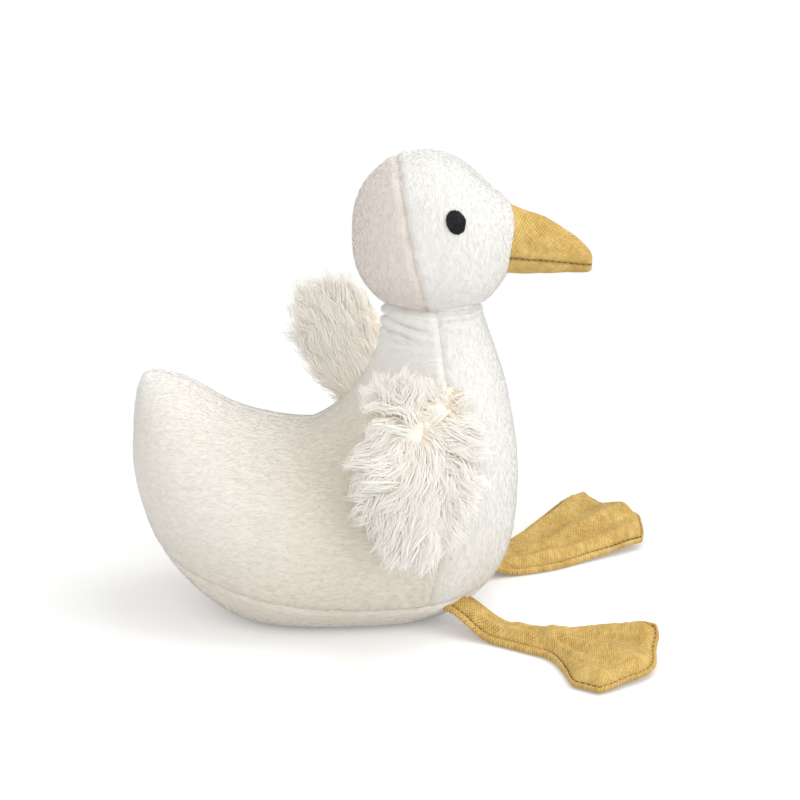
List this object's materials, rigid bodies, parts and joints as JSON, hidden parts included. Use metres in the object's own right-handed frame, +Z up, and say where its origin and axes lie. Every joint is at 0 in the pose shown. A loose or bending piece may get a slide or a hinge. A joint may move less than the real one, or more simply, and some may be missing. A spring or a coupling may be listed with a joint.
{
  "type": "plush goose",
  "caption": "Sitting plush goose sewn from short pile cloth, with long-fur wings, a linen beak and webbed linen feet.",
  "frame": {"origin": "on the flat seat under the belly, in the goose's middle plane, below the place where the back meets the neck", "axes": "+X towards the beak, +Y towards the goose's own left wing, +Z up; -Z out of the seat"},
  "size_m": [0.1703, 0.1459, 0.1475],
  "materials": {
    "pile_cloth": "short cream velour pile",
    "long_fur": "long curly white fur with beige roots",
    "linen": "mustard linen, plain weave",
    "eye_thread": "black satin stitch",
    "fibre_filling": "loose white polyester fibre"
  },
  "bodies": {
    "root": {"stuffing": "fibre_filling", "face_panel_left": "pile_cloth", "face_panel_right": "pile_cloth", "head_back_panel_left": "pile_cloth", "head_back_panel_right": "pile_cloth", "chest_panel": "pile_cloth", "side_panel_left": "pile_cloth", "side_panel_right": "pile_cloth", "belly_panel": "pile_cloth", "beak_upper": "linen", "beak_lower": "linen", "beak_stuffing": "fibre_filling", "eye_left": "eye_thread", "eye_right": "eye_thread", "foot_right_upper": "linen", "foot_right_lower": "linen", "foot_right_wadding": "fibre_filling", "foot_left_upper": "linen", "foot_left_lower": "linen", "foot_left_wadding": "fibre_filling", "wing_right_outer": "long_fur", "wing_right_inner": "long_fur", "wing_left_outer": "long_fur", "wing_left_inner": "long_fur"}
  },
  "joints": []
}
